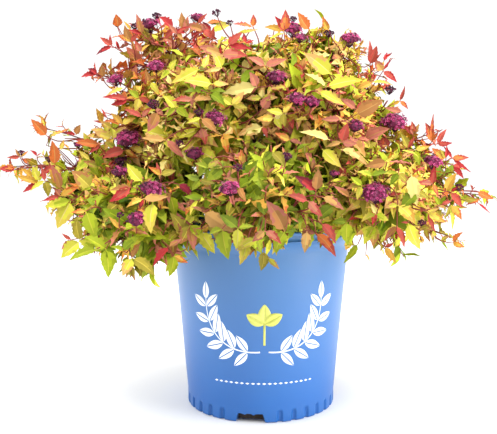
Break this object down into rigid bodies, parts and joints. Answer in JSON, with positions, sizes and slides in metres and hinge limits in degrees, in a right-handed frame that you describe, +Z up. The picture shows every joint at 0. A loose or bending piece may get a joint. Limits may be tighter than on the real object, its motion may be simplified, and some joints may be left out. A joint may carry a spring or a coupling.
{
  "type": "spirea shrub in nursery pot",
  "caption": "Low rounded flowering shrub with gold, green and red leaves and flat pink-purple flower heads, grown wide over the rim of a tapered blue plastic nursery pot.",
  "frame": {"origin": "centre of the pot's flat underside", "axes": "+Z up, +X to the right, -Y towards the side that faces the viewer"},
  "size_m": [0.6228, 0.5365, 0.4948],
  "materials": {
    "pot": "satin",
    "pot_print": "satin",
    "soil": "matte",
    "bark": "matte",
    "foliage_skirt": "matte",
    "foliage_shoulder": "matte",
    "foliage_top": "matte",
    "foliage_shoots": "matte",
    "blossom": "matte"
  },
  "bodies": {
    "root": {"pot": "pot", "soil": "soil", "stem_base": "bark", "bough_skirt_right": "bark", "bough_skirt_back_right": "bark", "bough_skirt_back": "bark", "bough_skirt_back_left": "bark", "bough_skirt_left": "bark", "bough_skirt_front_left": "bark", "bough_skirt_front": "bark", "bough_skirt_front_right": "bark", "bough_shoulder_right": "bark", "bough_shoulder_back_right": "bark", "bough_shoulder_back_left": "bark", "bough_shoulder_left": "bark", "bough_shoulder_front_left": "bark", "bough_shoulder_front_right": "bark", "bough_top_right": "bark", "bough_top_back": "bark", "bough_top_left": "bark", "bough_top_front": "bark", "skirt_right": "foliage_skirt", "skirt_back_right": "foliage_skirt", "skirt_back": "foliage_skirt", "skirt_back_left": "foliage_skirt", "skirt_left": "foliage_skirt", "skirt_front_left": "foliage_skirt", "skirt_front": "foliage_skirt", "skirt_front_right": "foliage_skirt", "shoulder_right": "foliage_shoulder", "shoulder_back_right": "foliage_shoulder", "shoulder_back_left": "foliage_shoulder", "shoulder_left": "foliage_shoulder", "shoulder_front_left": "foliage_shoulder", "shoulder_front_right": "foliage_shoulder", "top_right": "foliage_top", "top_back": "foliage_top", "top_left": "foliage_top", "top_front": "foliage_top", "shoot_far_left": "foliage_shoots", "shoot_upper_left": "foliage_shoots", "shoot_high_left": "foliage_shoots", "shoot_high_right": "foliage_shoots", "shoot_mid_right": "foliage_shoots", "shoot_far_right": "foliage_shoots", "shoot_low_right": "foliage_shoots", "shoot_low_front": "foliage_shoots", "shoot_back_right": "foliage_shoots", "shoot_back_left": "foliage_shoots"}
  },
  "joints": []
}
